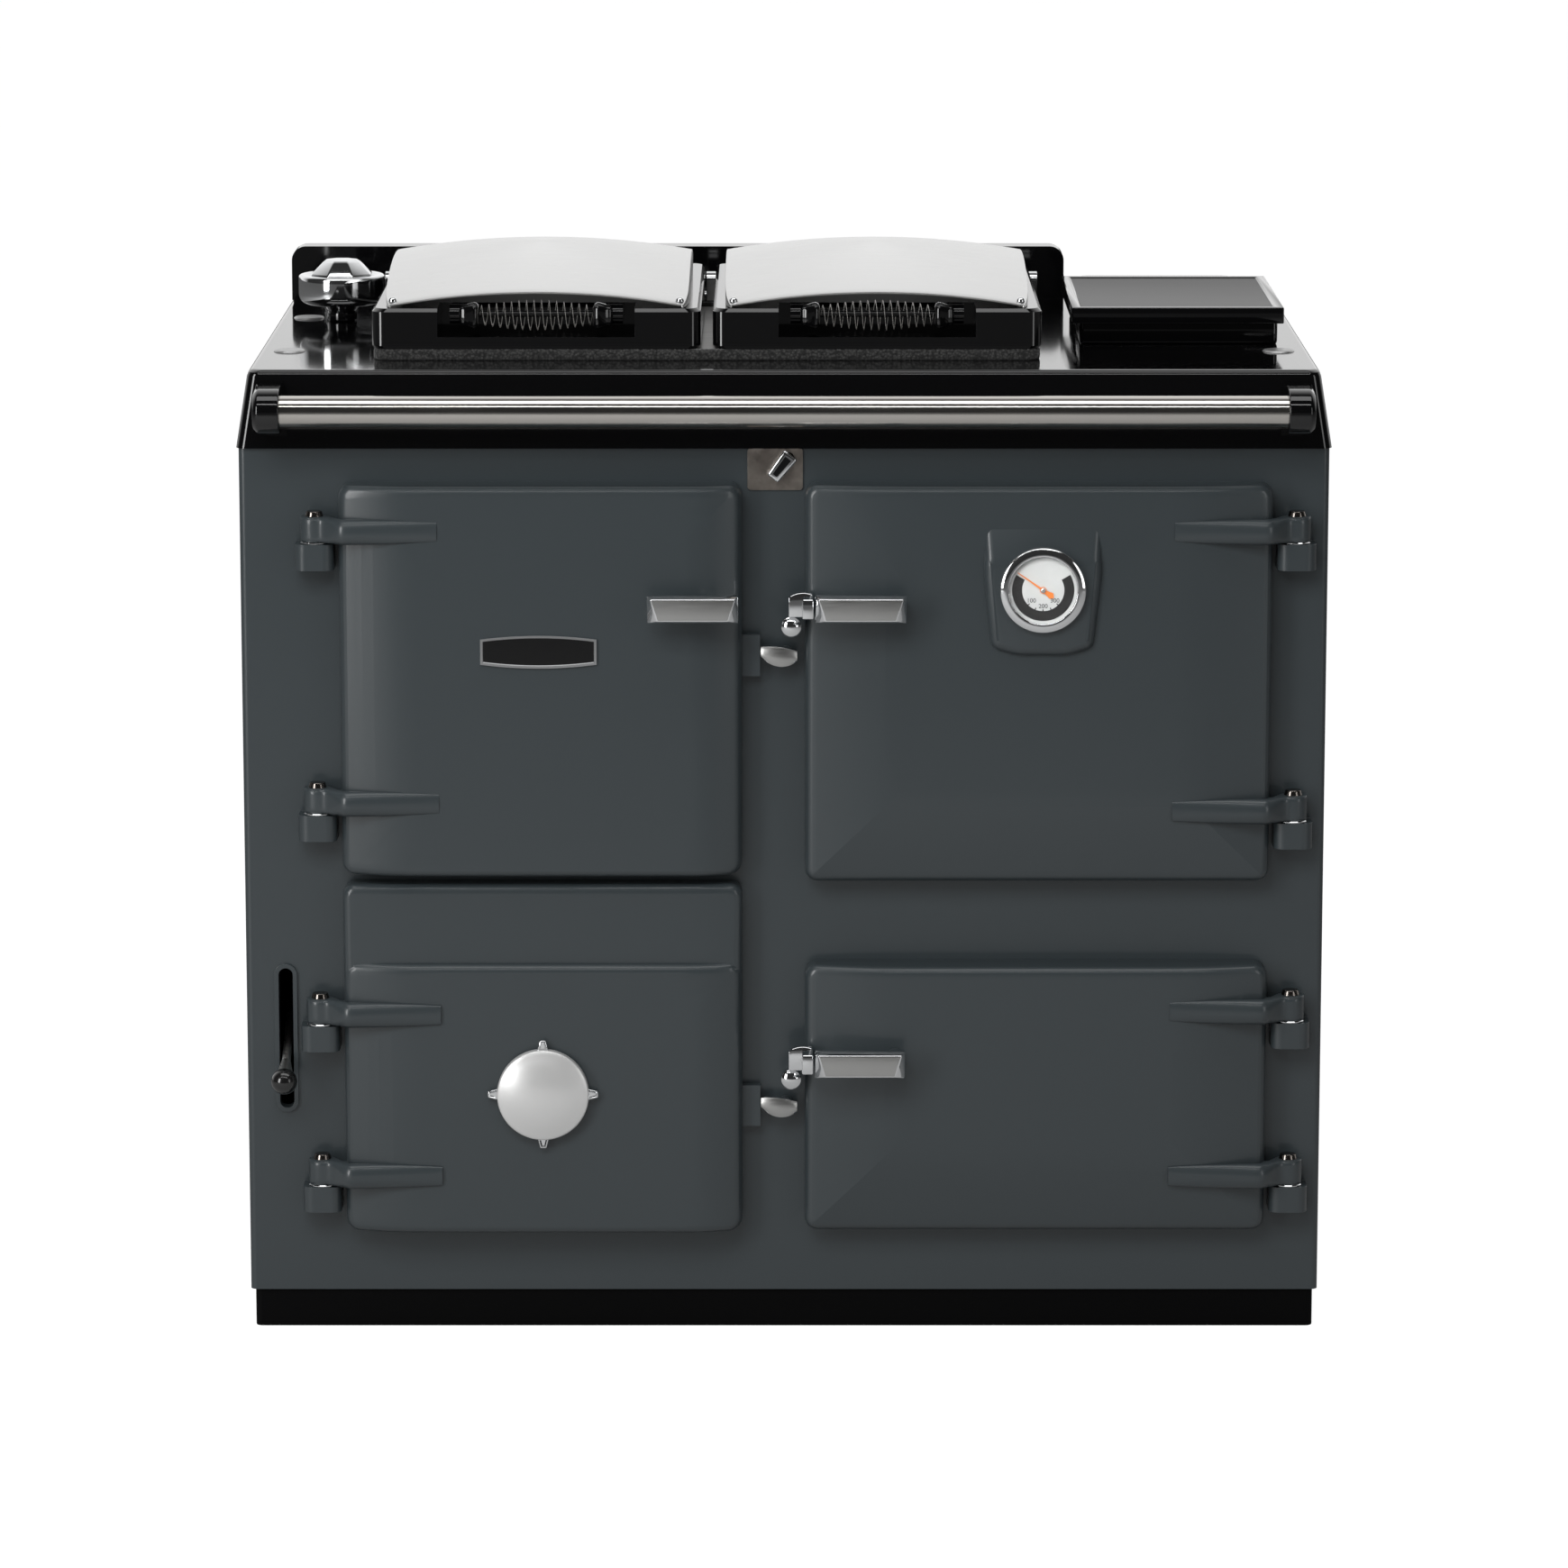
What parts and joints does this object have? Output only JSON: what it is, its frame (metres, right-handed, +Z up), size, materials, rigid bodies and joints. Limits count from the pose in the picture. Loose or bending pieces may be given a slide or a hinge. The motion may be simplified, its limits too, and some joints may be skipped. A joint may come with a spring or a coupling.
{
  "type": "range cooker",
  "caption": "Solid-fuel cast iron range cooker with firebox, ashpit and oven doors, insulated lids with wound wire handles over a hotplate, a towel rail and a rear flue outlet.",
  "frame": {"origin": "on the floor, under the middle of the whole range's width and depth", "axes": "+X to the right seen from the front, +Y from the front to the back, +Z up"},
  "size_m": [0.99, 0.673, 0.9793],
  "materials": {
    "enamel_slate": "glossy vitreous enamel, slate grey",
    "enamel_black": "glossy vitreous enamel, black",
    "bright_chrome": "polished chrome plate",
    "lid_steel": "finely brushed stainless steel",
    "plain_steel": "satin steel",
    "machined_iron": "machined and seasoned cast iron",
    "raw_iron": "blackened cast iron",
    "oven_enamel": "speckled oven enamel",
    "fire_clay": "fired clay brick",
    "rope_seal": "braided glass-fibre rope",
    "black_knob": "glossy black phenolic",
    "dial_white": "printed dial face",
    "needle_orange": "orange paint",
    "clear_glass": "flat clear glass"
  },
  "bodies": {
    "root": {"plinth": "enamel_black", "front_plate": "enamel_slate", "side_panels": "enamel_slate", "rear_panel": "raw_iron", "top_plate": "enamel_black", "hotplate": "machined_iron", "hotplate_seal": "rope_seal", "fixing_caps": "bright_chrome", "flue_box": "enamel_black", "flue_cover": "enamel_black", "handrail": "bright_chrome", "handrail_brackets": "enamel_black", "door_hinge_pins": "bright_chrome", "oven_keepers": "bright_chrome", "damper_plate": "plain_steel", "top_oven_cavity": "oven_enamel", "bottom_oven_cavity": "oven_enamel", "oven_shelves": "plain_steel", "firebox_shell": "raw_iron", "firebricks": "fire_clay", "grate_frame": "raw_iron", "ashpan": "plain_steel", "lid_hinges": "bright_chrome", "thermostat_collar": "enamel_black"},
    "damper": {"damper_lever": "bright_chrome", "damper_flap": "raw_iron"},
    "riddling_gear": {"riddling_lever": "plain_steel", "riddling_knob": "black_knob", "grate_bars": "raw_iron"},
    "firebox_catch_body": {"firebox_catch": "bright_chrome"},
    "ashpit_catch_body": {"ashpit_catch": "bright_chrome"},
    "thermostat": {"thermostat_knob": "bright_chrome"},
    "firebox_door_body": {"firebox_door": "enamel_slate", "firebox_door_liner": "raw_iron", "firebox_door_rope": "rope_seal", "firebox_door_handle": "bright_chrome"},
    "ashpit_door_body": {"ashpit_door": "enamel_slate", "ashpit_door_rope": "rope_seal"},
    "air_bush_body": {"air_wheel_bush": "plain_steel"},
    "air_wheel_body": {"air_wheel": "bright_chrome"},
    "top_oven_door_body": {"top_oven_door": "enamel_slate", "top_oven_door_liner": "plain_steel", "top_oven_door_rope": "rope_seal", "thermometer_bezel": "bright_chrome", "thermometer_dial": "dial_white", "thermometer_glass": "clear_glass"},
    "needle_body": {"thermometer_needle": "needle_orange"},
    "top_oven_latch_body": {"top_oven_latch": "bright_chrome"},
    "bottom_oven_door_body": {"bottom_oven_door": "enamel_slate", "bottom_oven_door_liner": "plain_steel", "bottom_oven_door_rope": "rope_seal"},
    "bottom_oven_latch_body": {"bottom_oven_latch": "bright_chrome"},
    "left_lid_body": {"left_lid_casting": "enamel_black", "left_lid_cover": "lid_steel", "left_lid_liner": "plain_steel", "left_lid_coil": "bright_chrome"},
    "right_lid_body": {"right_lid_casting": "enamel_black", "right_lid_cover": "lid_steel", "right_lid_liner": "plain_steel", "right_lid_coil": "bright_chrome"}
  },
  "joints": [
    {"name": "firebox_door_swing", "type": "hinge", "parent": "root", "child": "firebox_door_body", "pos_m": [-0.424, -0.2785, 0.611], "axis": [0, 0, -1], "range_deg": [0, 110]},
    {"name": "ashpit_door_swing", "type": "hinge", "parent": "root", "child": "ashpit_door_body", "pos_m": [-0.424, -0.2785, 0.228], "axis": [0, 0, -1], "range_deg": [0, 90]},
    {"name": "top_oven_door_swing", "type": "hinge", "parent": "root", "child": "top_oven_door_body", "pos_m": [0.463, -0.2785, 0.607], "axis": [0, 0, 1], "range_deg": [0, 110]},
    {"name": "bottom_oven_door_swing", "type": "hinge", "parent": "root", "child": "bottom_oven_door_body", "pos_m": [0.463, -0.2785, 0.223], "axis": [0, 0, 1], "range_deg": [0, 110]},
    {"name": "left_lid_lift", "type": "hinge", "parent": "root", "child": "left_lid_body", "pos_m": [-0.226, 0.2075, 0.905], "axis": [-1, 0, 0], "range_deg": [0, 92]},
    {"name": "right_lid_lift", "type": "hinge", "parent": "root", "child": "right_lid_body", "pos_m": [0.085, 0.2075, 0.905], "axis": [-1, 0, 0], "range_deg": [0, 92]},
    {"name": "air_wheel_travel", "type": "slide", "parent": "ashpit_door_body", "child": "air_bush_body", "axis": [0, -1, 0], "range_m": [0, 0.0091]},
    {"name": "air_wheel_turn", "type": "hinge", "parent": "air_bush_body", "child": "air_wheel_body", "pos_m": [-0.22, -0.3065, 0.231], "axis": [0, -1, 0], "range_deg": [0, 1080]},
    {"name": "thermostat_turn", "type": "hinge", "parent": "root", "child": "thermostat", "pos_m": [-0.423, 0.1245, 0.915], "axis": [0, 0, 1], "range_deg": [0, 300]},
    {"name": "damper_turn", "type": "hinge", "parent": "root", "child": "damper", "pos_m": [0.004, -0.2625, 0.811], "axis": [0, -1, 0], "range_deg": [0, 50]},
    {"name": "riddling_swing", "type": "hinge", "parent": "root", "child": "riddling_gear", "pos_m": [-0.4565, -0.0485, 0.357], "axis": [-1, 0, 0], "range_deg": [0, 18]},
    {"name": "firebox_catch_turn", "type": "hinge", "parent": "root", "child": "firebox_catch_body", "pos_m": [0.002, -0.2785, 0.632], "axis": [0, 1, 0], "range_deg": [0, 90]},
    {"name": "ashpit_catch_turn", "type": "hinge", "parent": "root", "child": "ashpit_catch_body", "pos_m": [0.002, -0.2785, 0.213], "axis": [0, 1, 0], "range_deg": [0, 90]},
    {"name": "top_oven_latch_lift", "type": "hinge", "parent": "top_oven_door_body", "child": "top_oven_latch_body", "pos_m": [0.101, -0.3265, 0.683], "axis": [0, 1, 0], "range_deg": [0, 15]},
    {"name": "bottom_oven_latch_lift", "type": "hinge", "parent": "bottom_oven_door_body", "child": "bottom_oven_latch_body", "pos_m": [0.101, -0.3265, 0.264], "axis": [0, 1, 0], "range_deg": [0, 15]},
    {"name": "thermometer_needle_sweep", "type": "hinge", "parent": "top_oven_door_body", "child": "needle_body", "pos_m": [0.233, -0.3105, 0.698], "axis": [0, 1, 0], "range_deg": [-70, 170]}
  ],
  "couplings": [
    {"joint": "air_wheel_travel", "follows": "air_wheel_turn", "m_per_rad": 0.00047746}
  ]
}
